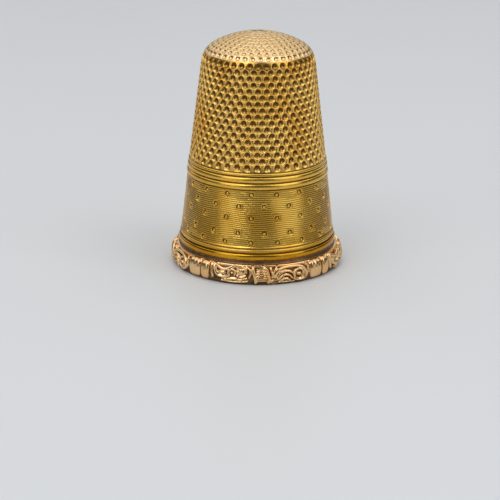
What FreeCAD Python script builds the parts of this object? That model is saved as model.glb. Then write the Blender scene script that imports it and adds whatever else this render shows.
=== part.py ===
"""Antique gold sewing thimble: domed cap, tapered side with turned beads, ring and border.

The thimble stands on its open mouth. The frame is in millimetres: +Z up, the axis of turning
on Z and the origin at the middle of the mouth, in the plane of the table. Azimuths are measured
from -Y towards +X. The pits are six-sided, and the border's relief has flat backs. The fine
lines and pips of the band are left to its finish, so the side is plain there.
"""
import FreeCAD, Part
import math
import os
from dataclasses import dataclass

# Driving dimensions
HEIGHT = 23.0                  # table to the crown of the cap
WALL = 0.40                    # sheet thickness of side and cap

FOOT_RADIUS = 7.45             # outside of the plain foot that the border and ring are soldered to
BAND_FOOT_RADIUS = 7.575       # side at the bottom of the engine-turned band
BAND_FOOT_Z = 3.02
WAIST_RADIUS = 6.719           # side where the band's beads end and the pits begin
WAIST_Z = 10.6
NECK_RADIUS = 5.535            # side where the shoulder starts to round
NECK_Z = 20.164

DOME_RADIUS = 9.0              # sphere of the crown
SHOULDER_RADIUS = 2.2          # rounding between side and crown
SEAM_Z = 21.09                 # solder seam between side and cap
MOUTH_EASE = 0.15              # rounding inside the mouth

RIM_REST_RADIUS = 8.15         # outer edge of the face that the border rests on
RIM_TOP_Z = 1.9
RIM_SHELF_RADIUS = 7.75        # inner end of the border's top, where its cove starts
COVE_MIDDLE = (7.645, 2.04)    # radius and height half way along the cove
RING_BOTTOM_Z = 2.25           # plain half-round ring above the border
RING_TOP_Z = 2.87
RING_EDGE_RADIUS = 7.6
RING_RADIUS = 7.76

# Crests of the border's relief, as radius and height down its section from the shelf
BROW_MIDDLE, BROW = (7.94, 1.91), (8.12, 1.86)
CHEEK_MIDDLE, CHEEK = (8.37, 1.68), (8.50, 1.30)
BELLY, CHIN = (8.56, 0.88), (8.52, 0.48)
CHIN_MIDDLE = (8.41, 0.14)
# Ground between the crests
GROUND = ((7.86, 1.64), (8.08, 1.55), (8.21, 1.24), (8.25, 0.88), (8.22, 0.50), (8.21, 0.20))

PITS_PER_ROW = 42
PIT_ROWS = 17
PIT_SIDES = 6
PIT_RADIUS = 0.33
PIT_DEPTH = 0.19
PIT_CUTTER_REACH = 2.0         # length of a pit's cutter, in depths of the pit
FIRST_PIT_Z = 11.15
PIT_ROW_STEP = 0.597
FIRST_PIT_AZIMUTH = -0.4       # degrees
CAP_PIT_RADIUS = 0.20
CAP_PIT_DEPTH = 0.11
CAP_PIT_SPACING = 0.75
CAP_PIT_RINGS = 9
CAP_RING_RADIUS = 5.03         # radius of the cap's widest ring of pits
CAP_RING_STEP = 0.55           # distance from ring to ring, along the surface
CAP_RING_TURNS = (2.3, 0.6, -1.7, 4.6, 1.1, -3.4, 6.3, 2.9, 11.5)    # degrees, from the outside

RELIEF_REPEATS = 4
RELIEF_AZIMUTH = -40.0         # degrees; the notch between the two cushions
RELIEF_RADIUS = 8.4            # radius at which the relief's degrees are measured as widths
RELIEF_DEGREE = math.radians(1.0) * RELIEF_RADIUS
RELIEF_ROOT_RADIUS = 7.7       # where the blocks that raise the relief start, inside the border
RELIEF_BLOCK = 1.2             # their length
CREST_STEPS = 60               # steps in which the crests' line is measured


@dataclass(frozen=True)
class Ribbon:
    """A raised ribbon: degrees round the border and millimetres down its section, and widths."""

    knots: tuple
    width: float
    end_width: float


RIBBONS = (
    Ribbon(((7.7, 0.3), (8.3, 1.0), (9.4, 1.9)), 0.20, 0.14),
    Ribbon(((10.0, 0.30), (13.0, 0.60), (16.8, 0.88), (20.5, 0.76), (24.4, 0.36)), 0.40, 0.30),
    Ribbon(((9.9, 0.45), (11.2, 1.05), (13.5, 1.56), (17.5, 1.70), (21.2, 1.50)), 0.34, 0.26),
    Ribbon(((16.0, 2.06), (24.0, 2.04), (33.6, 1.92)), 0.40, 0.30),
    Ribbon(((33.0, 0.40), (35.2, 0.72), (35.9, 1.15), (34.9, 1.62)), 0.24, 0.16),
    Ribbon(((37.2, 0.25), (37.6, 0.8), (38.6, 1.5), (39.2, 2.25)), 0.32, 0.26),
    Ribbon(((44.3, 0.30), (46.7, 0.78), (48.1, 1.4), (49.0, 2.1)), 0.28, 0.20),
    Ribbon(((54.0, 0.28), (52.2, 0.9), (50.2, 1.6)), 0.28, 0.18),
    Ribbon(((51.6, 1.50), (53.2, 1.02), (56.6, 0.64), (62.8, 0.46), (69.4, 0.58), (73.6, 1.00),
            (75.0, 1.52), (73.2, 1.96), (69.2, 2.08), (65.8, 1.94)), 0.40, 0.22),
    Ribbon(((53.4, 1.52), (55.8, 1.16), (59.2, 0.98), (62.8, 1.08), (65.2, 1.36)), 0.26, 0.20),
    Ribbon(((55.0, 1.78), (57.4, 1.46), (60.0, 1.37), (62.6, 1.54), (63.9, 1.80)), 0.22, 0.18),
    Ribbon(((50.4, 2.30), (58.0, 2.16), (64.0, 2.26)), 0.30, 0.24),
)
RIB_START, RIB_END = 40.4, 45.2        # short ribs beside the upright bar, in degrees
RIB_RUNS = (0.72, 1.10, 1.48, 1.86)
RIB_WIDTH = 0.20


@dataclass(frozen=True)
class Pad:
    """A raised pad: its middle, as for a ribbon, its half sizes and its number of sides."""

    middle: tuple
    half_width: float
    half_height: float
    sides: int


PADS = (
    Pad((83.6, 1.22), 0.72, 1.02, 8),
    Pad((3.0, 1.20), 0.40, 0.98, 8),
    Pad((29.3, 1.02), 0.42, 0.40, 8),
    Pad((23.3, 1.20), 0.18, 0.18, 6),
    Pad((69.3, 1.45), 0.32, 0.20, 8),
)


@dataclass(frozen=True)
class TurnedLine:
    """A bead (positive height) or a groove (negative height) turned round the side."""

    bottom: float
    top: float
    height: float


TURNED_LINES = (
    TurnedLine(3.08, 3.30, 0.07),
    TurnedLine(3.30, 3.42, -0.04),
    TurnedLine(3.42, 3.56, 0.04),
    TurnedLine(8.96, 9.08, -0.05),
    TurnedLine(9.08, 9.60, 0.10),
    TurnedLine(9.60, 9.72, -0.07),
    TurnedLine(9.72, 10.18, 0.09),
    TurnedLine(10.18, 10.34, -0.07),
    TurnedLine(10.34, 10.54, 0.05),
)


def point(r, z):
    """Place a profile point in the half plane that is spun round the axis."""
    return FreeCAD.Vector(r, 0, z)


def line(a, b):
    """Straight profile edge."""
    return Part.LineSegment(a, b).toShape()


def arc(a, middle, b):
    """Profile arc through three points."""
    return Part.Arc(a, middle, b).toShape()


def turned(edges):
    """Spin a closed profile round the axis."""
    axis = (FreeCAD.Vector(0, 0, 0), FreeCAD.Vector(0, 0, 1))
    return Part.Face(Part.Wire(edges)).revolve(*axis, 360)


def side_radius(z):
    """Outer radius of the side, without its beads, from the foot to the shoulder."""
    if z < WAIST_Z:
        share = (z - BAND_FOOT_Z) / (WAIST_Z - BAND_FOOT_Z)
        return BAND_FOOT_RADIUS + share * (WAIST_RADIUS - BAND_FOOT_RADIUS)
    share = (z - WAIST_Z) / (NECK_Z - WAIST_Z)
    return WAIST_RADIUS + share * (NECK_RADIUS - WAIST_RADIUS)


def side_lean():
    """Angle, in radians, by which the pitted side leans in from the upright."""
    return math.atan2(WAIST_RADIUS - NECK_RADIUS, NECK_Z - WAIST_Z)


def shoulder_centre():
    """Centre of the shoulder's arc, which meets both the pitted side and the crown smoothly."""
    lean = side_lean()
    inset = DOME_RADIUS - SHOULDER_RADIUS
    to_side = (NECK_RADIUS * math.cos(lean) + NECK_Z * math.sin(lean)) - SHOULDER_RADIUS
    dome_z = HEIGHT - DOME_RADIUS
    start = (to_side - dome_z * math.sin(lean)) / math.cos(lean)
    slope = math.tan(lean)
    a, b, c = 1 + slope ** 2, -2 * start * slope, start ** 2 - inset ** 2
    rise = (-b + math.sqrt(b * b - 4 * a * c)) / (2 * a)
    return start - slope * rise, dome_z + rise


def shoulder_point(angle, inset=0.0):
    """Point of the shoulder's arc at an angle, in radians, above the horizontal."""
    r, z = shoulder_centre()
    reach = SHOULDER_RADIUS - inset
    return point(r + reach * math.cos(angle), z + reach * math.sin(angle))


def shoulder_angles():
    """Angles at which the shoulder's arc starts, crosses the seam and meets the crown."""
    r, z = shoulder_centre()
    seam = math.asin((SEAM_Z - z) / SHOULDER_RADIUS)
    return side_lean(), seam, math.atan2(z - (HEIGHT - DOME_RADIUS), r)


def crown_point(angle, inset=0.0):
    """Point of the crown's sphere at an angle, in radians, above the horizontal."""
    reach = DOME_RADIUS - inset
    return point(reach * math.cos(angle), HEIGHT - DOME_RADIUS + reach * math.sin(angle))


def pit_cutter(place, azimuth, lift, radius, depth):
    """Six-sided point that cuts one pit at a profile place and an azimuth, in degrees.

    The lift is the angle, in radians, of the outward normal above the horizontal.
    """
    foot = FreeCAD.Vector(0, 0, -depth)
    reach, height = radius * PIT_CUTTER_REACH, depth * (PIT_CUTTER_REACH - 1)
    corners = []
    for i in range(PIT_SIDES + 1):
        turn = 2 * math.pi * i / PIT_SIDES
        corners.append(FreeCAD.Vector(reach * math.cos(turn), reach * math.sin(turn), height))
    base = Part.Face(Part.makePolygon(corners))
    sides = [Part.Face(Part.makePolygon([foot, a, b, foot])) for a, b in zip(corners, corners[1:])]
    cutter = Part.makeSolid(Part.makeShell([base] + sides))
    cutter.rotate(FreeCAD.Vector(), FreeCAD.Vector(0, 1, 0), 90 - math.degrees(lift))
    cutter.translate(place)
    cutter.rotate(FreeCAD.Vector(), FreeCAD.Vector(0, 0, 1), azimuth - 90)
    return cutter


def side_pits():
    """Cutters of the rows of pits on the side."""
    cutters = []
    for row in range(PIT_ROWS):
        z = FIRST_PIT_Z + row * PIT_ROW_STEP
        place, lift = point(side_radius(z), z), side_lean()
        if z > NECK_Z:
            lift += (z - NECK_Z) / math.cos(side_lean()) / SHOULDER_RADIUS
            place = shoulder_point(lift)
        for i in range(PITS_PER_ROW):
            azimuth = FIRST_PIT_AZIMUTH + (i + 0.5 * (row % 2)) * 360 / PITS_PER_ROW
            cutters.append(pit_cutter(place, azimuth, lift, PIT_RADIUS, PIT_DEPTH))
    return cutters


def cap_place(run):
    """Place and angle of the outward normal on the cap, at a distance above the neck."""
    _, _, crown = shoulder_angles()
    past = run - (crown - side_lean()) * SHOULDER_RADIUS
    if past < 0:
        angle = side_lean() + run / SHOULDER_RADIUS
        return shoulder_point(angle), angle
    angle = crown + past / DOME_RADIUS
    return crown_point(angle), angle


def cap_pits():
    """Cutters of the rings of pits on the cap, and of the one in its middle."""
    r, _ = shoulder_centre()
    first = (math.acos((CAP_RING_RADIUS - r) / SHOULDER_RADIUS) - side_lean()) * SHOULDER_RADIUS
    cutters = [pit_cutter(point(0, HEIGHT), 0, math.pi / 2, CAP_PIT_RADIUS, CAP_PIT_DEPTH)]
    for ring in range(CAP_PIT_RINGS):
        place, lift = cap_place(first + ring * CAP_RING_STEP)
        count = round(2 * math.pi * place.x / CAP_PIT_SPACING)
        for i in range(count):
            azimuth = CAP_RING_TURNS[ring] + i * 360 / count
            cutters.append(pit_cutter(place, azimuth, lift, CAP_PIT_RADIUS, CAP_PIT_DEPTH))
    return cutters


def side_wall():
    """Tapered tube: plain foot, lower beads, band, upper beads and the grip up to the seam."""
    edges = []
    here = point(FOOT_RADIUS, 0)

    def go(there, middle=None):
        nonlocal here
        edges.append(arc(here, middle, there) if middle else line(here, there))
        here = there

    go(point(FOOT_RADIUS, BAND_FOOT_Z))
    go(point(BAND_FOOT_RADIUS, BAND_FOOT_Z))
    for turn in TURNED_LINES:
        if turn.bottom > here.z:
            go(point(side_radius(turn.bottom), turn.bottom))
        middle = (turn.bottom + turn.top) / 2
        go(point(side_radius(turn.top), turn.top), point(side_radius(middle) + turn.height, middle))
    go(point(WAIST_RADIUS, WAIST_Z))
    go(shoulder_point(side_lean()))
    start, seam, _ = shoulder_angles()
    go(shoulder_point(seam), shoulder_point((start + seam) / 2))
    inner_seam = math.asin((SEAM_Z - shoulder_centre()[1]) / (SHOULDER_RADIUS - WALL))
    go(shoulder_point(inner_seam, WALL))
    go(shoulder_point(start, WALL), shoulder_point((start + inner_seam) / 2, WALL))
    go(point(WAIST_RADIUS - WALL, WAIST_Z))
    mouth = FOOT_RADIUS - WALL
    go(point(mouth, MOUTH_EASE))
    ease = MOUTH_EASE * (1 - math.sqrt(0.5))
    go(point(mouth + MOUTH_EASE, 0), point(mouth + ease, ease))
    go(point(FOOT_RADIUS, 0))
    return turned(edges).cut(Part.makeCompound(side_pits()))


def cap():
    """Domed top, seated on the side at the seam."""
    _, seam, crown = shoulder_angles()
    inner_seam = math.asin((SEAM_Z - shoulder_centre()[1]) / (SHOULDER_RADIUS - WALL))
    top = math.pi / 2
    edges = [
        arc(shoulder_point(seam), shoulder_point((seam + crown) / 2), shoulder_point(crown)),
        arc(crown_point(crown), crown_point((crown + top) / 2), crown_point(top)),
        line(crown_point(top), crown_point(top, WALL)),
        arc(crown_point(top, WALL), crown_point((crown + top) / 2, WALL), crown_point(crown, WALL)),
        arc(shoulder_point(crown, WALL), shoulder_point((inner_seam + crown) / 2, WALL),
            shoulder_point(inner_seam, WALL)),
        line(shoulder_point(inner_seam, WALL), shoulder_point(seam)),
    ]
    return turned(edges).cut(Part.makeCompound(cap_pits()))


def foot_ring():
    """Plain half-round ring soldered to the foot, above the border."""
    middle = (RING_BOTTOM_Z + RING_TOP_Z) / 2
    corners = [point(FOOT_RADIUS, RING_TOP_Z), point(FOOT_RADIUS, RING_BOTTOM_Z),
               point(RING_EDGE_RADIUS, RING_BOTTOM_Z), point(RING_EDGE_RADIUS, RING_TOP_Z)]
    return turned([
        line(corners[0], corners[1]),
        line(corners[1], corners[2]),
        arc(corners[2], point(RING_RADIUS, middle), corners[3]),
        line(corners[3], corners[0]),
    ])


def relief_crests():
    """Edges of the border's section along the crests of its relief, from shelf to rest."""
    shelf, rest = point(RIM_SHELF_RADIUS, RIM_TOP_Z), point(RIM_REST_RADIUS, 0)
    return [arc(shelf, point(*BROW_MIDDLE), point(*BROW)),
            arc(point(*BROW), point(*CHEEK_MIDDLE), point(*CHEEK)),
            arc(point(*CHEEK), point(*BELLY), point(*CHIN)),
            arc(point(*CHIN), point(*CHIN_MIDDLE), rest)]


def relief_ground():
    """Edges of the border's section along the ground between the crests."""
    line_up = [point(RIM_SHELF_RADIUS, RIM_TOP_Z), *(point(*place) for place in GROUND),
               point(RIM_REST_RADIUS, 0)]
    return [line(a, b) for a, b in zip(line_up, line_up[1:])]


def border(outside):
    """Border turned from its section, with the given edges between shelf and rest."""
    cove, shelf = point(RING_EDGE_RADIUS, RING_BOTTOM_Z), point(RIM_SHELF_RADIUS, RIM_TOP_Z)
    foot, rest = point(FOOT_RADIUS, 0), point(RIM_REST_RADIUS, 0)
    top = point(FOOT_RADIUS, RING_BOTTOM_Z)
    return turned([line(foot, top), line(top, cove), arc(cove, point(*COVE_MIDDLE), shelf),
                   *outside, line(rest, foot)])


def drop(run):
    """Height of the crests at a distance down the section from the shelf."""
    crests = Part.Wire(relief_crests())
    places = crests.discretize(CREST_STEPS + 1)
    return places[min(CREST_STEPS, round(run / crests.Length * CREST_STEPS))].z


def prism(outline, middle):
    """Radial block over an outline of degrees and runs, square to the border at its middle."""
    corners = [FreeCAD.Vector(RELIEF_RADIUS * math.sin(math.radians(u - middle)),
                              -RELIEF_ROOT_RADIUS, drop(v)) for u, v in outline]
    face = Part.Face(Part.makePolygon(corners + corners[:1]))
    block = face.extrude(FreeCAD.Vector(0, -RELIEF_BLOCK, 0))
    block.rotate(FreeCAD.Vector(), FreeCAD.Vector(0, 0, 1), RELIEF_AZIMUTH + middle)
    return block


def ribbon_block(ribbon):
    """Radial block over a ribbon."""
    places = [(u * RELIEF_DEGREE, v) for u, v in ribbon.knots]
    left, right = [], []
    for i, (x, y) in enumerate(places):
        before, after = places[max(0, i - 1)], places[min(len(places) - 1, i + 1)]
        length = math.dist(before, after)
        across = ((before[1] - after[1]) / length, (after[0] - before[0]) / length)
        share = i / (len(places) - 1)
        half = (ribbon.width + (ribbon.end_width - ribbon.width) * share) / 2
        left.append(((x + half * across[0]) / RELIEF_DEGREE, y + half * across[1]))
        right.append(((x - half * across[0]) / RELIEF_DEGREE, y - half * across[1]))
    return prism(left + right[::-1], (ribbon.knots[0][0] + ribbon.knots[-1][0]) / 2)


def pad_block(pad):
    """Radial block over a pad, whose sides are cut back at its corners."""
    outline = []
    for i in range(pad.sides):
        turn = 2 * math.pi * (i + 0.5) / pad.sides
        reach = 1 / math.cos(math.pi / pad.sides)
        outline.append((pad.middle[0] + reach * pad.half_width * math.cos(turn) / RELIEF_DEGREE,
                        pad.middle[1] + reach * pad.half_height * math.sin(turn)))
    return prism(outline, pad.middle[0])


def scroll_rim():
    """Applied border round the mouth, with its relief of cushions, scrolls and a shell."""
    ribs = [Ribbon(((RIB_START, run), (RIB_END + run, run)), RIB_WIDTH, RIB_WIDTH)
            for run in RIB_RUNS]
    blocks = [ribbon_block(ribbon) for ribbon in (*RIBBONS, *ribs)]
    blocks += [pad_block(pad) for pad in PADS]
    crests = border(relief_crests())
    raised = []
    for repeat in range(RELIEF_REPEATS):
        for block in blocks:
            turned_block = block.copy()
            turned_block.rotate(FreeCAD.Vector(), FreeCAD.Vector(0, 0, 1),
                                360 * repeat / RELIEF_REPEATS)
            raised.append(turned_block)
    return border(relief_ground()).fuse(crests.common(Part.makeCompound(raised)))


PIECES = {"side_wall": side_wall, "cap": cap, "foot_ring": foot_ring, "scroll_rim": scroll_rim}


def main():
    """Build each piece and write it under its own name."""
    os.makedirs("parts", exist_ok=True)
    for name, build in PIECES.items():
        shape = build()
        shape.exportStep(f"parts/{name}.step")
        print(f"{name}: {shape.Volume:.2f} mm3, {len(shape.Solids)} solids, "
              f"{len(shape.Faces)} faces, valid {shape.isValid()}")


main()
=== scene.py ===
"""Looks of an antique gold thimble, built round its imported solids.

The pieces are modelled in millimetres and brought to metres when they are finished. Azimuths are
measured round the thimble from the front (-Y) towards +X.
"""

import logging
import math
from dataclasses import dataclass, field
from enum import Enum
from typing import Any, Sequence

import bmesh
import bpy
import numpy as np
from mathutils import Matrix, Vector, noise


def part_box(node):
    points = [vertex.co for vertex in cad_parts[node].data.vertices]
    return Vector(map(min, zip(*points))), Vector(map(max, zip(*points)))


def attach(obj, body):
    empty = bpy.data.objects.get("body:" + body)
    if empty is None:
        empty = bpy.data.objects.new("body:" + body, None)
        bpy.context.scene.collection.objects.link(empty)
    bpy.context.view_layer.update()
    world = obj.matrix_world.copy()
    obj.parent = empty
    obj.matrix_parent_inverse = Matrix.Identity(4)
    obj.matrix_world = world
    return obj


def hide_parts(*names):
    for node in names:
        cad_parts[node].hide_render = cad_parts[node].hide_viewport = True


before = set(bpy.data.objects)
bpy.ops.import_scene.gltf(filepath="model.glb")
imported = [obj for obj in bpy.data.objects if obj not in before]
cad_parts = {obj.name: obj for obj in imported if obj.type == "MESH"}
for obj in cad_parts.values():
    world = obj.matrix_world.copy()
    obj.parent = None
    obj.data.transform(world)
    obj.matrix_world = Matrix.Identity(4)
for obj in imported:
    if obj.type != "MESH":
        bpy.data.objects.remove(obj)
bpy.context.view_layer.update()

log = logging.getLogger("thimble")

MM = 0.001
FULL_TURN = 2.0 * math.pi
FOOT_RADIUS = 7.45    # outside of the foot that ring and border are soldered to
BORDER_DEGREE = 0.1466    # millimetres of border per degree
RIBBON_SPREAD = 0.03    # millimetres by which a ribbon's flanks run out past its half width
SMOOTH = 5    # steps from knot to knot of a smooth line
SECTORS = 6    # a turned mesh is spun one sector at a time
WELD = 0.0005    # millimetres within which vertices are one
INSET = 0.001    # millimetres by which a face is inset before its corners are placed
Point = tuple[float, float]
Colour = tuple[float, float, float]


def smoothstep(low: float, high: float, value: float) -> float:
    """Ease from 0 at low to 1 at high."""
    share = min(1.0, max(0.0, (value - low) / (high - low)))
    return share * share * (3.0 - 2.0 * share)


def arc_points(centre: Point, radius: float, start: float, end: float, count: int) -> list[Point]:
    """Points along an arc, both ends included.

    Args:
        centre: Centre of the arc.
        radius: Radius of the arc.
        start: Angle of the first point, in radians.
        end: Angle of the last point, in radians.
        count: Number of points.

    Returns:
        The points in order.
    """
    turns = [start + (end - start) * i / (count - 1) for i in range(count)]
    return [(centre[0] + radius * math.cos(t), centre[1] + radius * math.sin(t)) for t in turns]


def along(a: Point, b: Point, count: int) -> list[Point]:
    """Points evenly spaced after a, up to and including b."""
    return [(a[0] + (b[0] - a[0]) * i / count, a[1] + (b[1] - a[1]) * i / count)
            for i in range(1, count + 1)]


def spline(knots: Sequence[Point], between: int) -> list[Point]:
    """Smooth line through knots.

    Args:
        knots: The points that it passes through.
        between: Steps from knot to knot.

    Returns:
        Points along the line.
    """
    ends = [knots[0], *knots, knots[-1]]
    made = [knots[0]]
    for a, b, c, d in zip(ends, ends[1:], ends[2:], ends[3:]):
        for t in (i / between for i in range(1, between + 1)):
            weights = (-t + 2 * t ** 2 - t ** 3, 2 - 5 * t ** 2 + 3 * t ** 3,
                       t + 4 * t ** 2 - 3 * t ** 3, -t ** 2 + t ** 3)
            made.append(tuple(sum(w * p[axis] for w, p in zip(weights, (a, b, c, d))) / 2
                              for axis in (0, 1)))
    return made


class Lathe:
    """A mesh turned from an outline, whose rings and columns stay known by number.

    Args:
        outline: Radius and height of each ring, in millimetres.
        columns: Number of columns round the axis.
        turn: Azimuth of column 0, in radians.
        closed: Whether the last ring joins the first.
    """

    def __init__(self, outline: Sequence[Point], columns: int, turn: float = 0.0,
                 closed: bool = False) -> None:
        self.mesh = bmesh.new()
        self.columns = columns
        self.turn = turn
        # Darkness of each vertex: tarnish in the hollows, and painted shade wherever a piece paints
        # it.
        self.shade_and_tarnish = self.mesh.verts.layers.float.new("shade_and_tarnish")
        self.rings = self._spin(outline, closed)

    def _spin(self, outline: Sequence[Point], closed: bool) -> list[list[bmesh.types.BMVert]]:
        """Spin the outline and sort the vertices into rings.

        Args:
            outline: Radius and height of each ring.
            closed: Whether the last ring joins the first.

        Returns:
            One list of vertices per ring, in the order of the columns.
        """
        row = self.mesh.verts.layers.int.new("row")
        chain = []
        for number, (radius, height) in enumerate(outline):
            place = (radius * math.sin(self.turn), -radius * math.cos(self.turn), height)
            chain.append(self.mesh.verts.new(place))
            chain[-1][row] = number
        pairs = list(zip(chain, chain[1:])) + ([(chain[-1], chain[0])] if closed else [])
        edges = [self.mesh.edges.new(pair) for pair in pairs]
        bmesh.ops.spin(self.mesh, geom=chain + edges, cent=(0, 0, 0), axis=(0, 0, 1),
                       dvec=(0, 0, 0), angle=FULL_TURN / SECTORS, steps=self.columns // SECTORS)
        sector = [*self.mesh.verts, *self.mesh.edges, *self.mesh.faces]
        for number in range(1, SECTORS):
            copied = bmesh.ops.duplicate(self.mesh, geom=sector)["geom"]
            bmesh.ops.rotate(self.mesh, cent=(0, 0, 0),
                             matrix=Matrix.Rotation(FULL_TURN * number / SECTORS, 3, "Z"),
                             verts=[part for part in copied if isinstance(part, bmesh.types.BMVert)])
        bmesh.ops.remove_doubles(self.mesh, verts=self.mesh.verts, dist=WELD)
        step = FULL_TURN / self.columns
        rings: list[list[Any]] = [[None] * self.columns for _ in outline]
        for vert in self.mesh.verts:
            azimuth = math.atan2(vert.co.x, -vert.co.y)
            rings[vert[row]][round((azimuth - self.turn) / step) % self.columns] = vert
        return rings

    def azimuth(self, column: float) -> float:
        """Azimuth of a column, in radians."""
        return self.turn + FULL_TURN * column / self.columns

    def vert(self, ring: int, column: int) -> bmesh.types.BMVert:
        """Vertex of a ring at a column, counted round the axis."""
        return self.rings[ring][column % self.columns]

    def patch(self, rings: tuple[int, int], columns: tuple[int, int]) -> bmesh.types.BMFace:
        """Join the faces between two rings and two columns into one.

        Args:
            rings: Lowest and highest ring of the patch.
            columns: First and last column of the patch.

        Returns:
            The joined face.
        """
        inside = []
        for ring in range(rings[0], rings[1]):
            for column in range(columns[0], columns[1]):
                corners = {self.vert(ring, column), self.vert(ring + 1, column + 1)}
                near = set(self.vert(ring, column).link_faces)
                inside += [face for face in near if corners <= set(face.verts)]
        return bmesh.ops.dissolve_faces(self.mesh, faces=inside, use_verts=False)["region"][0]

    def loop_edges(self, ring: int) -> list[bmesh.types.BMEdge]:
        """Edges that run along a ring."""
        return [self.mesh.edges.get((self.vert(ring, column), self.vert(ring, column + 1)))
                for column in range(self.columns)]


def on_side(radius: float, height: float, azimuth: float) -> Vector:
    """Point at a radius, height and azimuth."""
    return Vector((radius * math.sin(azimuth), -radius * math.cos(azimuth), height))


def off_axis(place: Vector) -> float:
    """Distance of a point from the axis."""
    return math.hypot(place.x, place.y)


@dataclass(frozen=True)
class Seat:
    """Where a round pit is struck: a face of the mesh and its frame on the surface."""

    face: bmesh.types.BMFace
    centre: Vector
    normal: Vector

    @classmethod
    def at(cls, face: bmesh.types.BMFace, radius: float, height: float, lift: float,
           azimuth: float) -> "Seat":
        """Seat at a radius, height and azimuth whose normal is lifted above the horizontal."""
        normal = on_side(math.cos(lift), math.sin(lift), azimuth)
        return cls(face, on_side(radius, height, azimuth), normal)


@dataclass(frozen=True)
class Pit:
    """Section of a round pit: shares of its radius, their depths in millimetres and how dark each is
    painted, with tarnish and painted shade.
    """

    radius: float
    steps: tuple[tuple[float, float, float], ...]
    upper_wall_shade: float = 0.3    # how much darker the upper wall is painted than the middle: painted shade

    def strike(self, mesh: bmesh.types.BMesh, seats: Sequence[Seat]) -> None:
        """Strike the pit at each seat.

        Args:
            mesh: The mesh that holds the seats' faces.
            seats: Where the pits go.
        """
        shade_and_tarnish = mesh.verts.layers.float["shade_and_tarnish"]
        for share, depth, dirt_and_shade in self.steps:
            faces = [seat.face for seat in seats]
            bmesh.ops.inset_individual(mesh, faces=faces, thickness=INSET, depth=0.0)
            for seat in seats:
                for vert in seat.face.verts:
                    arm = vert.co - seat.centre
                    arm -= arm.dot(seat.normal) * seat.normal
                    sunk = seat.centre - depth * seat.normal
                    vert.co = sunk + arm.normalized() * self.radius * share
                    # Painted shade: the upper wall of each pit is painted darker than the lower.
                    vert[shade_and_tarnish] = dirt_and_shade * (1 + self.upper_wall_shade * arm.normalized().z)


class Metal(Enum):
    """Material slots of the record."""

    YELLOW = "yellow_gold"
    ROSE = "rose_gold"


def finished(name: str, mesh: bmesh.types.BMesh, finishes: "Sequence[GoldFinish]", node: str,
             sharp: float = 50.0) -> bpy.types.Object:
    """Bring a modelled mesh to metres and set it in the scene as a piece.

    Args:
        name: Name of the piece.
        mesh: The mesh, in millimetres.
        finishes: The piece's finishes, in the order of its faces' material numbers.
        node: The solid that the piece stands for.
        sharp: Angle, in degrees, past which an edge stays crisp.

    Returns:
        The piece's object.
    """
    bmesh.ops.recalc_face_normals(mesh, faces=mesh.faces)
    bmesh.ops.transform(mesh, matrix=Matrix.Scale(MM, 4), verts=mesh.verts)
    mesh.verts.layers.int.remove(mesh.verts.layers.int["row"])
    data = bpy.data.meshes.new(name)
    mesh.to_mesh(data)
    mesh.free()
    data.shade_smooth()
    data.set_sharp_from_angle(angle=math.radians(sharp))
    for finish in finishes:
        data.materials.append(finish.material())
    piece = bpy.data.objects.new(name, data)
    bpy.context.scene.collection.objects.link(piece)
    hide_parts(node)
    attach(piece, "root")
    data.calc_loop_triangles()
    log.info("%s: %d triangles", name, len(data.loop_triangles))
    return piece


class Signal:
    """A shader socket on which arithmetic adds Math nodes."""

    def __init__(self, shader: "Shader", socket: bpy.types.NodeSocket) -> None:
        self.shader = shader
        self.socket = socket

    def _math(self, operation: str, *values: Any) -> "Signal":
        """Add one Math node."""
        return self.shader.node("ShaderNodeMath", {"operation": operation},
                                dict(enumerate(values)))

    def __add__(self, other: Any) -> "Signal":
        """Sum."""
        return self._math("ADD", self, other)

    def __mul__(self, other: Any) -> "Signal":
        """Product."""
        return self._math("MULTIPLY", self, other)

    def eased(self, low: float, high: float) -> "Signal":
        """Ease from 0 at low to 1 at high."""
        return self.shader.node("ShaderNodeMapRange", {"interpolation_type": "SMOOTHSTEP"},
                                {"Value": self, "From Min": low, "From Max": high})


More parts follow.
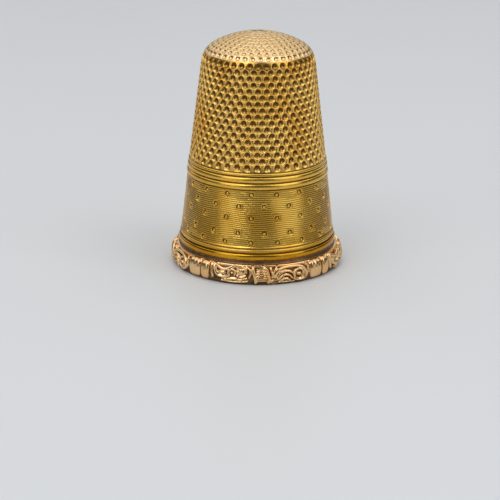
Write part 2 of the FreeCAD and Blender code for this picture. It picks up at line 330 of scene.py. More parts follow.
class Shader:
    """A new material's node tree, and the one way that nodes are added to it.

    Args:
        name: Name of the material.
    """

    def __init__(self, name: str) -> None:
        self.material = bpy.data.materials.new(name)
        self.material.use_nodes = True
        self.tree = self.material.node_tree
        self.tree.nodes.clear()

    def node(self, kind: str, settings: dict[str, Any] | None = None,
             inputs: dict[Any, Any] | None = None, output: Any = 0) -> Signal:
        """Add a node.

        Args:
            kind: Type of the node.
            settings: Properties, which are set first.
            inputs: Values or signals for its sockets, by name or number.
            output: Name or number of the output that is returned.

        Returns:
            The output as a signal.
        """
        made = self.tree.nodes.new(kind)
        for key, value in (settings or {}).items():
            setattr(made, key, value)
        for key, value in (inputs or {}).items():
            if isinstance(value, Signal):
                self.tree.links.new(value.socket, made.inputs[key])
            else:
                made.inputs[key].default_value = value
        return Signal(self, made.outputs[output])

    def noise(self, scale: float, detail: float = 3.0, stretch: Colour = (1.0, 1.0, 1.0)) -> Signal:
        """Noise on object coordinates.

        Args:
            scale: Features per metre.
            detail: Octaves of finer noise.
            stretch: Factor along each axis.

        Returns:
            The noise, about 0.5.
        """
        own = self.node("ShaderNodeTexCoord", output="Object")
        place = self.node("ShaderNodeMapping", {}, {"Vector": own, "Scale": stretch})
        return self.node("ShaderNodeTexNoise", {},
                         {"Vector": place, "Scale": scale, "Detail": detail})

    def mix(self, share: Any, a: Any, b: Any) -> Signal:
        """Mix two colours.

        Args:
            share: How much of b there is.
            a: First colour or signal.
            b: Second colour or signal.

        Returns:
            The mixed colour.
        """
        opaque = [c if isinstance(c, Signal) else (*c, 1.0) for c in (a, b)]
        return self.node("ShaderNodeMix", {"data_type": "RGBA"},
                         {0: share, 6: opaque[0], 7: opaque[1]}, output=2)

    def surface(self, constants: dict[str, Any], varying: dict[str, Signal]) -> bpy.types.Material:
        """Close the material with its surface.

        Args:
            constants: Values set on the shader's own sockets.
            varying: Signals for the sockets that change over the surface.

        Returns:
            The material.
        """
        shade = self.node("ShaderNodeBsdfPrincipled", {}, {**constants, **varying})
        end = self.tree.nodes.new("ShaderNodeOutputMaterial")
        self.tree.links.new(shade.socket, end.inputs["Surface"])
        return self.material


@dataclass(frozen=True)
class GoldFinish:
    """Finish of one gold alloy on one kind of surface.

    Attributes:
        name: Name of the material.
        bright: Colour of the clean metal.
        deep: Colour where the alloy is a little redder and duller.
        tarnish_and_shade_colour: Colour of the tarnish in the hollows and of the painted shade.
        polish: Roughness on the crests.
        dulling: Added roughness in the hollows.
        dirt_and_shade_strength: How much of that colour shows where the tarnish and the painted
            shade are set.
        scratches: Strength of the fine scratches.
    """

    name: str
    bright: Colour
    deep: Colour
    tarnish_and_shade_colour: Colour
    polish: float
    dulling: float
    dirt_and_shade_strength: float
    scratches: float

    def material(self) -> bpy.types.Material:
        """Build the material.

        Returns:
            The finished material.
        """
        shader = Shader(self.name)
        shade_and_tarnish = shader.node("ShaderNodeAttribute", {"attribute_name": "shade_and_tarnish"}, output="Fac")
        cloud = shader.noise(260.0, 3.0).eased(0.35, 0.68)
        stain = shader.noise(1400.0, 4.0)
        smear = shader.noise(900.0, 4.0, (1.0, 1.0, 0.35)).eased(0.40, 0.75)
        turning = shader.noise(1500.0, 2.0, (0.25, 0.25, 12.0))
        specks = shader.noise(9000.0, 2.0).eased(0.66, 0.78)
        # Tarnish in the hollows together with painted shade, both read from the same mask.
        dirt_and_shade = shade_and_tarnish.eased(0.25, 1.0) * (stain * 0.4 + 0.68) * self.dirt_and_shade_strength
        metal = shader.mix(cloud * 0.6 + smear * 0.25, self.bright, self.deep)
        colour = shader.mix(dirt_and_shade + specks * 0.10, metal, self.tarnish_and_shade_colour)
        roughness = dirt_and_shade * self.dulling + smear * 0.07 + turning * 0.05 + self.polish
        relief = turning * 0.5 + shader.noise(5200.0, 3.0, (1.0, 1.0, 2.5)) + specks * -0.5
        bump = shader.node("ShaderNodeBump", {},
                           {"Strength": self.scratches, "Distance": 0.02 * MM, "Height": relief})
        return shader.surface({"Metallic": 1.0},
                              {"Base Color": colour, "Roughness": roughness, "Normal": bump})


GRIP_GOLD = GoldFinish("gold_grip", (0.93, 0.58, 0.15), (0.78, 0.385, 0.05), (0.045, 0.014, 0.002),
                       0.20, 0.20, 1.0, 0.25)
# Painted light: a paler copy of the side's yellow gold, lightened for the bright light that the cap
# catches from above.
CAP_GOLD_PAINTED_LIGHT = GoldFinish("gold_cap_painted_light", (0.93, 0.68, 0.35), (0.84, 0.55, 0.24), (0.20, 0.085, 0.03),
                      0.20, 0.15, 0.80, 0.25)
BAND_GOLD = GoldFinish("gold_band", (0.86, 0.54, 0.10), (0.68, 0.345, 0.035), (0.085, 0.032, 0.005),
                       0.17, 0.20, 1.0, 0.25)
RING_GOLD = GoldFinish("gold_ring", (0.68, 0.36, 0.025), (0.48, 0.215, 0.012), (0.05, 0.02, 0.004),
                       0.16, 0.20, 1.0, 0.25)
ROSE_RIM = GoldFinish("rose_rim", (0.93, 0.64, 0.335), (0.84, 0.48, 0.175), (0.050, 0.018, 0.004),
                      0.13, 0.25, 1.0, 0.25)


@dataclass
class Shape:
    """Measured outline that side and cap share, in millimetres."""

    height: float
    seam_z: float
    foot_radius: float
    wall: float = 0.40
    band_foot: Point = (7.575, 3.02)
    waist: Point = (6.719, 10.6)
    neck: Point = (5.535, 20.164)
    dome_radius: float = 9.0
    shoulder_radius: float = 2.2
    pits_per_row: int = 42
    cell_columns: int = 6
    pit_turn: float = math.radians(-0.4)

    @property
    def columns(self) -> int:
        """Columns of the side's mesh."""
        return self.pits_per_row * self.cell_columns

    @property
    def lean(self) -> float:
        """Angle by which the pitted side leans in from the upright."""
        return math.atan2(self.waist[0] - self.neck[0], self.neck[1] - self.waist[1])

    def side_radius(self, z: float) -> float:
        """Radius of the straight side at a height."""
        low, high = (self.band_foot, self.waist) if z < self.waist[1] else (self.waist, self.neck)
        return low[0] + (z - low[1]) / (high[1] - low[1]) * (high[0] - low[0])

    def shoulder_centre(self) -> Point:
        """Centre of the shoulder's arc, which runs smoothly into the side and the crown."""
        lean = self.lean
        dome_z = self.height - self.dome_radius
        to_side = self.neck[0] * math.cos(lean) + self.neck[1] * math.sin(lean)
        start = (to_side - self.shoulder_radius - dome_z * math.sin(lean)) / math.cos(lean)
        slope = math.tan(lean)
        a, b = 1 + slope ** 2, -2 * start * slope
        c = start ** 2 - (self.dome_radius - self.shoulder_radius) ** 2
        rise = (-b + math.sqrt(b * b - 4 * a * c)) / (2 * a)
        return start - slope * rise, dome_z + rise

    def crown_angle(self) -> float:
        """Angle above the horizontal at which the shoulder meets the crown."""
        r, z = self.shoulder_centre()
        return math.atan2(z - (self.height - self.dome_radius), r)

    def seam_run(self, inset: float = 0.0) -> float:
        """Distance of the seam above the neck, as upper() counts it, at a depth."""
        rise = self.seam_z - self.shoulder_centre()[1]
        angle = math.asin(rise / (self.shoulder_radius - inset))
        return (angle - self.lean) * self.shoulder_radius

    def upper(self, run: float, inset: float = 0.0) -> tuple[float, float, float]:
        """Follow the outline up from the neck, over the shoulder and the crown.

        Args:
            run: Distance along the outer outline above the neck.
            inset: Depth below the outer surface.

        Returns:
            Radius, height and the angle of the outward normal above the horizontal.
        """
        r, z = self.shoulder_centre()
        bend = self.crown_angle() - self.lean
        angle = self.lean + run / self.shoulder_radius
        if run < 0:
            drop = -run
            out = self.neck[0] + drop * math.sin(self.lean) - inset * math.cos(self.lean)
            up = self.neck[1] - drop * math.cos(self.lean) - inset * math.sin(self.lean)
            return out, up, self.lean
        if angle < self.crown_angle():
            reach = self.shoulder_radius - inset
            return r + reach * math.cos(angle), z + reach * math.sin(angle), angle
        past = run - bend * self.shoulder_radius
        angle = self.crown_angle() + past / self.dome_radius
        reach = self.dome_radius - inset
        centre = self.height - self.dome_radius
        return reach * math.cos(angle), centre + reach * math.sin(angle), angle

    def run_to_radius(self, radius: float) -> float:
        """Distance along the outline above the neck at which it has a radius."""
        low, high = 0.0, 12.0
        for _ in range(40):
            middle = (low + high) / 2
            low, high = (middle, high) if self.upper(middle)[0] > radius else (low, middle)
        return low


@dataclass(frozen=True)
class Bead:
    """A bead (positive height) or groove (negative height) turned round the side."""

    bottom: float
    top: float
    height: float

    def points(self, shape: Shape, count: int) -> list[Point]:
        """Outline of the bead, from above its bottom to its top.

        Args:
            shape: The side that it stands on.
            count: Number of points.

        Returns:
            Radius and height of each point.
        """
        made = []
        for i in range(1, count + 1):
            z = self.bottom + (self.top - self.bottom) * i / count
            swell = self.height * math.sqrt(max(0.0, 1 - (2 * i / count - 1) ** 2))
            made.append((shape.side_radius(z) + swell, z))
        return made


@dataclass
class SideShell:
    """Tapered side: foot, lower beads, engine-turned band with pips, upper beads and pitted grip."""

    shape: Shape
    lower_beads: tuple[Bead, ...] = (Bead(3.08, 3.30, 0.07), Bead(3.30, 3.42, -0.05),
                                     Bead(3.42, 3.56, 0.04))
    upper_beads: tuple[Bead, ...] = (
        Bead(8.96, 9.08, -0.06), Bead(9.08, 9.62, 0.10), Bead(9.62, 9.74, -0.08),
        Bead(9.74, 10.24, 0.09), Bead(10.24, 10.38, -0.08), Bead(10.38, 10.62, 0.06),
        Bead(10.62, 10.74, -0.06))
    foot_line_z: float = 2.9
    bead_points: int = 7
    groove_points: int = 4
    full_bead: float = 0.05    # a bead higher than this has bead_points
    lines: int = 28
    line_depth: float = 0.042
    ring_per_line: int = 3
    wave: float = 0.045    # how far the lines waver up and down
    waves_round: int = 9
    wave_twist: float = 0.9    # radians per millimetre of height
    wave_fade: int = 12    # rings over which the wave dies out above and below
    pip_rows: tuple[float, ...] = (8.55, 7.42, 6.33, 4.85, 3.95)
    pips_per_row: int = 18
    first_pip_column: int = -3
    pip_rings: int = 5    # half height of a pip's face, in rings
    pip_columns: int = 2    # half its width, in columns
    pip_reach: float = 0.31    # half its width in millimetres
    pip_square: float = 0.6    # how straight its sides are: 1 is square
    pip: Pit = Pit(0.27, ((1.0, 0.012, 0.2), (0.78, 0.095, 1.0), (0.58, 0.085, 0.9),
                          (0.34, 0.015, 0.1)))
    rows: int = 17
    first_row_z: float = 11.15
    row_step: float = 0.597
    margin: float = 0.40
    # The third number of each step paints the pit dark: tarnish, deepened to paint the shade inside
    # the pits as well.
    pit: Pit = Pit(0.342, ((1.0, 0.027, 0.0), (0.81, 0.12, 0.7), (0.53, 0.19, 0.9),
                           (0.22, 0.22, 0.85)))
    grip_foot: float = 10.75
    mouth_ease: float = 0.15
    foot_dirt: float = 0.8
    cut_dirt: float = 0.95
    cut_depths: Point = (-0.02, 0.06)    # depths between which a cut turns dark
    # How dark faces that look down are painted: painted shade.
    under_shade_strength: float = 0.7
    under_shade_slope: float = 0.9    # slope at which a face that looks down is painted fully dark, a painted shade
    names: dict[str, int] = field(default_factory=dict)

    def turned(self, beads: Sequence[Bead]) -> list[Point]:
        """Outline of a stack of beads and grooves, with fewer points on the small ones."""
        return [point for bead in beads for point in bead.points(
            self.shape, self.bead_points if bead.height > self.full_bead else self.groove_points)]

    def outline(self) -> list[Point]:
        """Closed outline from the foot up the outside, over the seam and down the inside."""
        shape = self.shape
        foot, wall = shape.foot_radius, shape.wall
        first = self.lower_beads[0].bottom
        points: list[Point] = [(foot, 0.0), (foot, self.foot_line_z), (foot, shape.band_foot[1])]
        points += [shape.band_foot, (shape.side_radius(first), first)]
        points += self.turned(self.lower_beads)
        self.names["band"] = len(points) - 1
        bottom, top = self.lower_beads[-1].top, self.upper_beads[0].bottom
        count = self.lines * self.ring_per_line
        for i in range(1, count + 1):
            z = bottom + (top - bottom) * i / count
            dip = self.line_depth * (1 - math.cos(FULL_TURN * i / self.ring_per_line)) / 2
            points.append((shape.side_radius(z) - dip, z))
        points += self.turned(self.upper_beads)
        self.names["grip"] = len(points)
        points += [self.grip_point(i)[:2] for i in range(2 * self.rows + 1)]
        seam, top_run = shape.seam_run(), self.grip_run(2 * self.rows)
        points += [shape.upper(top_run + (seam - top_run) * i / 3)[:2] for i in range(1, 4)]
        points += [shape.upper(shape.seam_run(wall) * (1 - i / 4), wall)[:2] for i in range(5)]
        points += along(points[-1], (shape.waist[0] - wall, shape.waist[1]), 4)
        mouth = foot - wall
        points += along(points[-1], (mouth, self.mouth_ease), 4)
        points += arc_points((mouth + self.mouth_ease, self.mouth_ease), self.mouth_ease,
                             math.pi, 1.5 * math.pi, 4)[1:]
        return points

    def grip_run(self, ring: int) -> float:
        """Distance above the neck of a ring of the grip; odd rings are the pits' middles."""
        first = (self.first_row_z - self.shape.neck[1]) / math.cos(self.shape.lean)
        step = self.row_step / math.cos(self.shape.lean)
        if ring == 0:
            return first - self.margin
        if ring == 2 * self.rows:
            return first + (self.rows - 1) * step + self.margin
        return first + (ring - 1) / 2 * step

    def grip_point(self, ring: int) -> tuple[float, float, float]:
        """Radius, height and outward angle of a ring of the grip."""
        return self.shape.upper(self.grip_run(ring))

    def zigzag(self, lathe: Lathe) -> None:
        """Shift the rings between the rows of pits, so that each pit has a six-sided cell."""
        start, cell = self.names["grip"], self.shape.cell_columns
        reach = self.row_step / 6
        for row in range(1, self.rows):
            run = self.grip_run(2 * row)
            for column in range(lathe.columns):
                off = (column - (row % 2) * cell // 2) % cell
                share = -1 + 2 * min(off, cell - off) / (cell / 2)
                r, z, _ = self.shape.upper(run + reach * share)
                lathe.vert(start + 2 * row, column).co = on_side(r, z, lathe.azimuth(column))

    def grip_seats(self, lathe: Lathe) -> list[Seat]:
        """Open one face per pit of the grip.

        Args:
            lathe: The side's mesh.

        Returns:
            The seats of the pits.
        """
        start, cell = self.names["grip"], self.shape.cell_columns
        spare = []
        for row in range(self.rows):
            middle, shift = start + 2 * row + 1, (row % 2) * cell // 2
            for column in range(lathe.columns):
                here = lathe.vert(middle, column)
                spare.append(lathe.mesh.edges.get((here, lathe.vert(middle, column + 1))))
                if (column - shift) % cell != cell // 2:
                    spare.append(lathe.mesh.edges.get((here, lathe.vert(middle - 1, column))))
                    spare.append(lathe.mesh.edges.get((here, lathe.vert(middle + 1, column))))
        bmesh.ops.dissolve_edges(lathe.mesh, edges=spare, use_verts=False, use_face_split=False)
        seats = []
        for row in range(self.rows):
            r, z, lift = self.grip_point(2 * row + 1)
            shift = (row % 2) * cell // 2
            for i in range(self.shape.pits_per_row):
                column = shift + i * cell
                below = set(lathe.vert(start + 2 * row, column).link_faces)
                above = set(lathe.vert(start + 2 * row + 2, column).link_faces)
                seats.append(Seat.at((below & above).pop(), r, z, lift, lathe.azimuth(column)))
        return seats

    def pip_seats(self, lathe: Lathe) -> list[Seat]:
        """Open one face per pip of the band.

        Args:
            lathe: The side's mesh.

        Returns:
            The seats of the pips.
        """
        shape = self.shape
        pitch = lathe.columns // self.pips_per_row
        rise = (self.upper_beads[0].bottom - self.lower_beads[-1].top) / (
            self.lines * self.ring_per_line)
        lean = math.atan2(shape.band_foot[0] - shape.waist[0], shape.waist[1] - shape.band_foot[1])
        half, wide = self.pip_rings, self.pip_columns
        seats = []
        for row, height in enumerate(self.pip_rows):
            ring = self.names["band"] + round((height - self.lower_beads[-1].top) / rise)
            z = self.lower_beads[-1].top + rise * (ring - self.names["band"])
            radius = shape.side_radius(z) - self.line_depth / 3
            for i in range(self.pips_per_row):
                column = self.first_pip_column + i * pitch + (row % 2) * pitch // 2
                turn = lathe.azimuth(column)
                face = lathe.patch((ring - half, ring + half), (column - wide, column + wide))
                for side in (-1, 1):
                    for near in range(ring - half, ring + half + 1):
                        edge = lathe.vert(near, column + wide * side)
                        out = off_axis(edge.co)
                        bulge = math.cos(0.5 * math.pi * (near - ring) / (half + 1))
                        round_off = self.pip_square + (1 - self.pip_square) * bulge
                        shift = self.pip_reach * round_off / out
                        edge.co = on_side(out, edge.co.z, turn + side * shift)
                seats.append(Seat.at(face, radius, z, lean, turn))
        return seats

    def mark_band(self, lathe: Lathe) -> None:
        """Darken the cuts of the engine-turned lines, the grooves beside the beads and the foot, and
        paint shade on faces that look down.
        """
        shape, shade_and_tarnish = self.shape, lathe.shade_and_tarnish
        for ring in range(1, self.names["grip"]):
            above, below = lathe.vert(ring + 1, 0).co, lathe.vert(ring - 1, 0).co
            faces_down = (off_axis(above) - off_axis(below)) / max(0.001, above.z - below.z)
            # Painted shade: faces that look down are painted darker.
            under_shade = self.under_shade_strength * smoothstep(0.0, self.under_shade_slope, faces_down)
            for vert in lathe.rings[ring]:
                if vert.co.z > shape.band_foot[1]:
                    dip = shape.side_radius(vert.co.z) - off_axis(vert.co)
                    vert[shade_and_tarnish] = max(smoothstep(*self.cut_depths, dip) * self.cut_dirt, under_shade)
                else:
                    vert[shade_and_tarnish] = self.foot_dirt

    def wave_lines(self, lathe: Lathe) -> None:
        """Let the engine-turned lines waver as the cutter did."""
        first = self.names["band"]
        last = first + self.lines * self.ring_per_line
        for ring in range(first + 1, last):
            fade = min(ring - first, last - ring, self.wave_fade) / self.wave_fade
            for column in range(lathe.columns):
                vert = lathe.vert(ring, column)
                turn = self.waves_round * lathe.azimuth(column) + self.wave_twist * vert.co.z
                vert.co.z += self.wave * fade * math.sin(turn)

    def build(self) -> bpy.types.Object:
        """Model and dress the side.

        Returns:
            The piece.
        """
        lathe = Lathe(self.outline(), self.shape.columns, self.shape.pit_turn, closed=True)
        self.mark_band(lathe)
        self.wave_lines(lathe)
        self.zigzag(lathe)
        self.pip.strike(lathe.mesh, self.pip_seats(lathe))
        self.pit.strike(lathe.mesh, self.grip_seats(lathe))
        for face in lathe.mesh.faces:
            face.material_index = int(face.calc_center_median().z > self.grip_foot)
        return finished("side_shell", lathe.mesh, (BAND_GOLD, GRIP_GOLD), "side_wall")


@dataclass
class PittedCap:
    """Domed cap with rings of small pits round one in the middle."""

    shape: Shape
    outer_radius: float = 5.03
    ring_step: float = 0.55
    rings: int = 9
    spacing: float = 0.75
    ridge: float = 0.03
    lip_swell: tuple[float, ...] = (0.0, 0.012, 0.020, 0.010, 0.0)
    inside_end: float = 0.35    # radius of the flat at the middle of the inside
    loops_per_mm: int = 25    # steps by which the edges of the strips are told apart
    pit: Pit = Pit(0.238, ((1.0, 0.024, 0.35), (0.76, 0.09, 0.9), (0.40, 0.125, 0.2)))
    turns: tuple[float, ...] = (0.04, 0.01, -0.03, 0.08, 0.02, -0.06, 0.11, 0.05, 0.2)

    def strip(self, ring: int) -> Lathe:
        """Turn the strip that holds one ring of pits, and strike them.

        Args:
            ring: Number of the ring, from the outside.

        Returns:
            The strip.
        """
        shape, cell = self.shape, self.shape.cell_columns
        run = shape.run_to_radius(self.outer_radius) + ring * self.ring_step
        half = self.ring_step / 2 - self.ridge
        radius, height, lift = shape.upper(run)
        count = round(FULL_TURN * radius / self.spacing)
        outline = [shape.upper(run + shift)[:2] for shift in (-half, 0.0, half)]
        lathe = Lathe(outline, count * cell, self.turns[ring])
        seats = []
        for i in range(count):
            column = i * cell
            face = lathe.patch((0, 2), (column - cell // 2, column + cell // 2))
            seats.append(Seat.at(face, radius, height, lift, lathe.azimuth(column)))
        self.pit.strike(lathe.mesh, seats)
        return lathe

    def shell(self) -> Lathe:
        """Turn the lip, the seam's face and the inside of the cap."""
        shape = self.shape
        seam, inner_seam = shape.seam_run(), shape.seam_run(shape.wall)
        first = shape.run_to_radius(self.outer_radius) - self.ring_step / 2
        inner_end = shape.run_to_radius(self.inside_end)
        lip = []
        for i, swell in enumerate(self.lip_swell):
            r, z, _ = shape.upper(first + (seam - first) * i / (len(self.lip_swell) - 1))
            lip.append((r + swell, z + swell))
        inside = [shape.upper(inner_seam + (inner_end - inner_seam) * i / 12, shape.wall)[:2]
                  for i in range(13)]
        return Lathe(lip + inside, shape.columns, shape.pit_turn)

    def build(self) -> bpy.types.Object:
        """Model and dress the cap.

        Returns:
            The piece.
        """
        whole = self.shell()
        bmesh.ops.contextual_create(whole.mesh, geom=whole.loop_edges(-1))
        for ring in range(self.rings):
            strip = self.strip(ring).mesh
            data = bpy.data.meshes.new("strip")
            strip.to_mesh(data)
            strip.free()
            whole.mesh.from_mesh(data)
            bpy.data.meshes.remove(data)
        self.join(whole.mesh)
        return finished("pitted_cap", whole.mesh, (CAP_GOLD_PAINTED_LIGHT,), "cap")

    def join(self, mesh: bmesh.types.BMesh) -> None:
        """Close the ridges between the strips and strike the pit in the middle.

        Args:
            mesh: The mesh that holds the shell and all the strips.
        """
        loops: dict[int, list[bmesh.types.BMEdge]] = {}
        for edge in mesh.edges:
            if edge.is_boundary:
                middle = (edge.verts[0].co + edge.verts[1].co) / 2
                place = round(off_axis(middle) * self.loops_per_mm)
                loops.setdefault(place, []).append(edge)
        ordered = [loops[key] for key in sorted(loops, reverse=True)]
        middle = ordered.pop()
        for outer, inner in zip(ordered[0::2], ordered[1::2]):
            bmesh.ops.bridge_loops(mesh, edges=outer + inner)
        face = bmesh.ops.contextual_create(mesh, geom=middle)["faces"][0]
        top = Vector((0, 0, self.shape.height))
        self.pit.strike(mesh, [Seat(face, top, Vector((0, 0, 1)))])


@dataclass
class FootRing:
    """Plain half-round ring soldered round the foot."""

    inner: float
    outer: float
    bottom: float
    top: float
    columns: int = 252
    bulge: float = 0.52    # share of the thickness that the round takes up
    wear: float = 0.018
    wear_scale: float = 0.9
    # How dark the ring's upper and lower flanks are painted: painted shade.
    dirt_and_shade: float = 0.9
    flank_shade_depths: Point = (0.06, 0.20)

    def build(self) -> bpy.types.Object:
        """Model and dress the ring.

        Returns:
            The piece.
        """
        half = (self.top - self.bottom) / 2
        flat = self.outer - (self.outer - self.inner) * self.bulge
        outline = [(self.inner, self.top), (self.inner, self.bottom)]
        for i in range(13):
            turn = math.pi * (i / 12 - 0.5)
            swell = (self.outer - flat) * math.cos(turn)
            outline.append((flat + swell, self.bottom + half + half * math.sin(turn)))
        lathe = Lathe(outline, self.columns, closed=True)
        for ring in lathe.rings[2:]:
            for vert in ring:
                place = Vector((vert.co.x, vert.co.y, vert.co.z * 2))
                dent = noise.noise(place * self.wear_scale)
                out = off_axis(vert.co)
                worn = out - self.wear * max(0.0, dent)
                vert.co.x, vert.co.y = vert.co.x * worn / out, vert.co.y * worn / out
                # Painted shade: the flanks, away from the ring's crest, are painted darker.
                vert[lathe.shade_and_tarnish] = smoothstep(*self.flank_shade_depths, self.outer - out) * self.dirt_and_shade
        return finished("plain_foot_ring", lathe.mesh, (RING_GOLD,), "foot_ring")


class Relief:
    """One element of the border's relief, drawn on the unrolled border.

    Places are given as degrees round the border from the notch beside the plain cushion, and
    millimetres down the section from the shelf.
    """

    def height(self, x: np.ndarray, y: np.ndarray) -> np.ndarray:
        """Height of the element, as a share of the relief, at places in millimetres."""
        raise NotImplementedError


@dataclass(frozen=True)
class Ribbon(Relief):
    """A round-backed ribbon along a smooth line, tapered from its first end to its last."""

    knots: tuple[Point, ...]
    width: float
    end_width: float
    rise: float = 1.0

    def height(self, x: np.ndarray, y: np.ndarray) -> np.ndarray:
        """Height of the ribbon.

        Args:
            x: Millimetres round the border.
            y: Millimetres down its section.

        Returns:
            Height at each place, 0 beside the ribbon.
        """
        line = spline([(u * BORDER_DEGREE, v) for u, v in self.knots], SMOOTH)
        made = np.zeros_like(x)
        for i, (a, b) in enumerate(zip(line, line[1:])):
            dx, dy = b[0] - a[0], b[1] - a[1]
            share = np.clip(((x - a[0]) * dx + (y - a[1]) * dy) / (dx * dx + dy * dy), 0, 1)
            gap = np.hypot(x - a[0] - share * dx, y - a[1] - share * dy)
            along_line = (i + share) / (len(line) - 1)
            half = (self.width + (self.end_width - self.width) * along_line) / 2 + RIBBON_SPREAD
            made = np.maximum(made, np.sqrt(np.clip(1 - (gap / half) ** 2, 0, 1)))
        return self.rise * made


@dataclass(frozen=True)
class Boss(Relief):
    """A raised oval, square-shouldered if its power is high, with flutes if it has any."""

    centre: Point
    half_width: float
    half_height: float
    rise: float = 1.0
    power: float = 2.0
    flutes: float = 0.0
    flute_depth: float = 0.0
    fan_drop: float | None = None

    def height(self, x: np.ndarray, y: np.ndarray) -> np.ndarray:
        """Height of the boss.

        Args:
            x: Millimetres round the border.
            y: Millimetres down its section.

        Returns:
            Height at each place, 0 outside the boss.
        """
        across, down = x - self.centre[0] * BORDER_DEGREE, y - self.centre[1]
        reach = (np.abs(across) / self.half_width) ** self.power
        reach += (np.abs(down) / self.half_height) ** self.power
        made = self.rise * np.sqrt(np.clip(1 - reach, 0, 1))
        place = across if self.fan_drop is None else np.arctan2(across, self.fan_drop - down)
        return made * (1 - self.flute_depth * (0.5 - 0.5 * np.cos(self.flutes * place)))


BORDER_RELIEF: tuple[Relief, ...] = (
    # Fluted cushion, plain cushion and the blade beside it
    Boss((83.6, 1.10), 0.82, 1.50, 1.0, 3.6, 13.0, 0.13),
    Boss((3.0, 1.10), 0.49, 1.50, 1.0, 3.6),
    Ribbon(((7.7, 0.3), (8.3, 1.0), (9.4, 1.9)), 0.24, 0.16, 0.85),
    # Crescent leaf between two curves, and the curl that it ends in
    Ribbon(((10.0, 0.30), (13.0, 0.60), (16.8, 0.88), (20.5, 0.76), (24.4, 0.36)), 0.46, 0.34),
    Ribbon(((9.9, 0.45), (11.2, 1.05), (13.5, 1.56), (17.5, 1.70), (21.2, 1.50)), 0.40, 0.30),
    Boss((16.3, 1.26), 0.52, 0.22, 0.72),
    Ribbon(((21.2, 1.50), (21.0, 1.05), (23.2, 0.82), (25.4, 1.00), (25.2, 1.42)),
           0.24, 0.20, 0.92),
    Boss((23.3, 1.20), 0.17, 0.17, 0.95),
    # Round shell with its curl and the two bands that run under it
    Boss((29.3, 1.00), 0.50, 0.47, 1.0, 2.2, 9.0, 0.22, 0.55),
    Ribbon(((26.6, 0.55), (29.6, 0.34), (32.4, 0.62), (33.0, 1.10)), 0.24, 0.18, 0.9),
    Ribbon(((26.8, 1.45), (29.4, 1.62), (32.4, 1.42)), 0.20, 0.20, 0.9),
    Ribbon(((18.2, 1.98), (23.8, 1.84), (28.5, 1.90), (33.0, 1.74)), 0.26, 0.20, 0.85),
    Ribbon(((16.0, 2.14), (24.0, 2.22), (33.6, 2.08)), 0.26, 0.20, 0.8),
    Ribbon(((33.0, 0.40), (35.2, 0.72), (35.9, 1.15), (34.9, 1.62)), 0.28, 0.18, 0.9),
    # Upright bar, the ribs beside it and the bars that lean together
    *(Ribbon(((40.2, v + 0.10), (42.8, v), (45.0 + 0.7 * i, v + 0.10)), 0.21, 0.19, 0.88)
      for i, v in enumerate((0.62, 0.87, 1.12, 1.38, 1.65, 1.92))),
    Ribbon(((37.2, 0.25), (37.6, 0.8), (38.6, 1.5), (39.2, 2.25)), 0.36, 0.30),
    Ribbon(((44.3, 0.30), (46.7, 0.78), (48.1, 1.4), (49.0, 2.1)), 0.32, 0.22),
    Ribbon(((49.4, 0.40), (50.0, 1.2)), 0.34, 0.12, 0.62),
    Ribbon(((54.0, 0.28), (52.2, 0.9), (50.2, 1.6)), 0.32, 0.20),
    # Large scroll of parallel lines that curls in round its eye
    Ribbon(((51.6, 1.50), (53.2, 1.02), (56.6, 0.64), (62.8, 0.46), (69.4, 0.58), (73.6, 1.00),
            (75.0, 1.52), (73.2, 1.96), (69.2, 2.08), (65.8, 1.94)), 0.46, 0.26),
    Ribbon(((53.4, 1.52), (55.8, 1.16), (59.2, 0.98), (62.8, 1.08), (65.2, 1.36), (65.8, 1.66)),
           0.30, 0.22, 0.95),
    Ribbon(((66.0, 1.30), (67.0, 1.02), (69.6, 0.93), (71.9, 1.10), (72.6, 1.44), (71.4, 1.76)),
           0.22, 0.16, 0.9),
    Boss((69.3, 1.45), 0.33, 0.21, 0.95),
    Ribbon(((55.0, 1.78), (57.4, 1.46), (60.0, 1.37), (62.6, 1.54), (63.9, 1.80)),
           0.26, 0.20, 0.9),
    Ribbon(((47.6, 2.30), (50.8, 1.96), (54.0, 1.84)), 0.24, 0.24, 0.85),
    Ribbon(((55.6, 2.16), (58.0, 1.88), (60.6, 1.84), (63.0, 2.12)), 0.26, 0.20, 0.85),
    Ribbon(((50.4, 2.36), (58.0, 2.28), (66.0, 2.34)), 0.22, 0.22, 0.7),
    Ribbon(((74.6, 0.32), (76.6, 0.8), (76.9, 1.5)), 0.18, 0.14, 0.8),
    # Fine line that runs along the shelf
    Ribbon(((-2.0, 0.10), (92.0, 0.10)), 0.26, 0.26, 0.82),
)


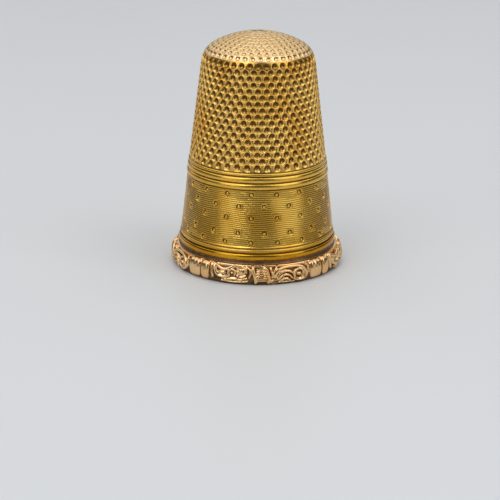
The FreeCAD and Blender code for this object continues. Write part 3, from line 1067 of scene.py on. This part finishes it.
@dataclass
class ScrollRim:
    """Applied border whose relief of scrolls, a shell and cushions repeats each quarter turn."""

    inner: float
    top: float
    shelf: Point = (7.75, 1.90)
    columns: int = 1080
    repeats: int = 4
    depth: float = 0.30
    front: float = math.radians(-40.0)
    grit: float = 0.05
    grit_scale: float = 2.6
    crisp: float = 70.0    # degrees past which an edge stays crisp
    edge_fades: Point = (0.30, 0.25)    # widths over which the relief dies out, top and bottom
    # How dark the cove above the shelf is painted: painted shade.
    cove_shade: float = 0.88
    low_dirt: Point = (0.30, 0.90)    # shares of the depth between which it turns dark
    # How dark the lower part of the border is painted: painted shade.
    under_shade_strength: float = 0.7
    under_shade_runs: Point = (1.75, 2.5)    # distances below the shelf between which the painted shade on the lower border sets in

    def section(self) -> list[Point]:
        """Outer section of the border from the cove's top to the outer edge of its rest."""
        return spline([(7.60, self.top), (7.645, 2.05), self.shelf, (7.94, 1.91),
                       (8.12, 1.86), (8.36, 1.67), (8.49, 1.30), (8.545, 0.88),
                       (8.51, 0.48), (8.40, 0.16), (8.15, 0.0)], SMOOTH)

    def build(self) -> bpy.types.Object:
        """Model and dress the border.

        Returns:
            The piece.
        """
        section = self.section()
        inside = along(section[-1], (self.inner, 0.0), 4) + along((self.inner, 0.0),
                                                                  (self.inner, self.top), 3)
        lathe = Lathe(section + inside, self.columns, self.front, closed=True)
        self.carve(lathe, section)
        return finished("carved_scroll_rim", lathe.mesh, (ROSE_RIM,), "scroll_rim",
                        self.crisp)

    def heights(self, runs: np.ndarray) -> np.ndarray:
        """Heights of the relief over one repeat.

        Args:
            runs: Distance of each ring below the shelf.

        Returns:
            One row per ring and one column per column of the repeat.
        """
        count = self.columns // self.repeats
        span = FULL_TURN / self.repeats * math.degrees(BORDER_DEGREE)
        x, y = np.meshgrid(np.arange(count) * span / count, runs)
        made = np.zeros_like(x)
        for relief in BORDER_RELIEF:
            made = np.maximum(made, relief.height(x, y))
        return made

    def carve(self, lathe: Lathe, section: list[Point]) -> None:
        """Cut the ground back round the relief, darken the ground, and paint shade in the cove and
        on the lower part of the border.

        Args:
            lathe: The border's mesh.
            section: Its outer section, one point per ring.
        """
        shelf = min(range(len(section)), key=lambda i: math.dist(section[i], self.shelf))
        steps = [math.dist(a, b) for a, b in zip(section, section[1:])]
        runs = np.array([sum(steps[shelf:i]) for i in range(len(section))])
        heights = self.heights(runs)
        for ring, (r, z) in enumerate(section):
            before, after = section[max(0, ring - 1)], section[min(len(section) - 1, ring + 1)]
            tangent = Vector((after[0] - before[0], after[1] - before[1])).normalized()
            to_edge = (smoothstep(0.0, self.edge_fades[0], runs[ring])
                       * smoothstep(0.0, self.edge_fades[1], runs[-1] - runs[ring]))
            # Painted shade on the lower part of the border, which looks down.
            under_shade = self.under_shade_strength * smoothstep(*self.under_shade_runs, runs[ring])
            for column in range(lathe.columns):
                vert = lathe.vert(ring, column)
                # Painted shade: the cove above the shelf is painted dark.
                if ring <= shelf:
                    vert[lathe.shade_and_tarnish] = self.cove_shade
                    continue
                low = 1.0 - heights[ring, column % heights.shape[1]]
                pitted = self.grit * noise.noise(vert.co * self.grit_scale)
                cut = self.depth * to_edge * min(1.0, max(0.0, low + pitted))
                vert.co = on_side(r + cut * tangent.y, max(0.0, z - cut * tangent.x),
                                  lathe.azimuth(column))
                vert[lathe.shade_and_tarnish] = max(smoothstep(*self.low_dirt, low), under_shade)


@dataclass
class Studio:
    """Pale floor, soft lamps and the camera at the photograph's place."""

    camera_place: Vector = field(default_factory=lambda: Vector((-0.673, -173.01, 58.38)) * MM)
    pitch: float = math.radians(71.596)
    roll: float = math.radians(0.45)
    lens: float = 131.2

    def floor(self) -> None:
        """Lay the floor."""
        mesh = bmesh.new()
        bmesh.ops.create_circle(mesh, cap_ends=True, radius=1.2, segments=96)
        data = bpy.data.meshes.new("floor")
        mesh.to_mesh(data)
        mesh.free()
        shader = Shader("pale_floor")
        tone = shader.noise(9.0, 2.0)
        colour = shader.mix(tone, (0.72, 0.74, 0.76), (0.77, 0.79, 0.81))
        data.materials.append(shader.surface({"Roughness": 0.45}, {"Base Color": colour}))
        board = bpy.data.objects.new("floor", data)
        bpy.context.scene.collection.objects.link(board)

    def lamp(self, name: str, place: Point, height: float, size: Point, glow: float) -> None:
        """Hang a soft lamp that faces the thimble.

        Args:
            name: Name of the lamp.
            place: Its azimuth in degrees and its distance from the axis in metres.
            height: Its height in metres.
            size: Its width and height in metres.
            glow: Radiance of its face; 1 is as bright as white paper in full light.
        """
        data = bpy.data.lights.new(name, "AREA")
        data.shape = "RECTANGLE"
        data.size, data.size_y = size
        data.energy = math.pi * glow * size[0] * size[1]
        lamp = bpy.data.objects.new(name, data)
        lamp.location = on_side(place[1], height, math.radians(place[0]))
        aim = Vector((0, 0, 0.011)) - lamp.location
        lamp.rotation_euler = aim.to_track_quat("-Z", "Y").to_euler()
        bpy.context.scene.collection.objects.link(lamp)

    def camera(self) -> None:
        """Set the camera."""
        data = bpy.data.cameras.new("camera")
        data.lens = self.lens
        data.sensor_width = 36.0
        data.clip_start = 0.01
        camera = bpy.data.objects.new("camera", data)
        turn = Matrix.Rotation(self.pitch, 3, "X") @ Matrix.Rotation(self.roll, 3, "Z")
        camera.location = self.camera_place
        camera.rotation_euler = turn.to_euler()
        bpy.context.scene.collection.objects.link(camera)
        bpy.context.scene.camera = camera

    def build(self) -> None:
        """Set up floor, light and camera."""
        world = bpy.data.worlds.new("studio")
        world.use_nodes = True
        sky = world.node_tree.nodes["Background"]
        sky.inputs["Color"].default_value = (0.95, 0.97, 1.0, 1.0)
        sky.inputs["Strength"].default_value = 0.12
        bpy.context.scene.world = world
        bpy.context.scene.view_settings.view_transform = "Standard"
        self.floor()
        self.lamp("left", (-45.0, 0.34), 0.27, (0.25, 0.50), 1.08)
        self.lamp("right", (53.0, 0.34), 0.27, (0.31, 0.50), 0.98)
        self.lamp("top", (180.0, 0.03), 0.40, (1.10, 0.46), 0.92)
        self.lamp("spark", (-24.0, 0.26), 0.30, (0.12, 0.10), 2.6)
        self.lamp("back", (184.0, 0.37), 0.26, (1.00, 0.36), 0.58)
        self.camera()


def main() -> None:
    """Build the thimble and its studio."""
    logging.basicConfig(level=logging.INFO)
    cap_low, cap_high = (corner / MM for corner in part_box("cap"))
    ring_low, ring_high = (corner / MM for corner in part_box("foot_ring"))
    shape = Shape(height=cap_high.z, seam_z=cap_low.z, foot_radius=FOOT_RADIUS)
    SideShell(shape).build()
    PittedCap(shape).build()
    FootRing(FOOT_RADIUS, ring_high.x, ring_low.z, ring_high.z).build()
    ScrollRim(FOOT_RADIUS, ring_low.z).build()
    Studio().build()


if __name__ == "__main__":
    main()
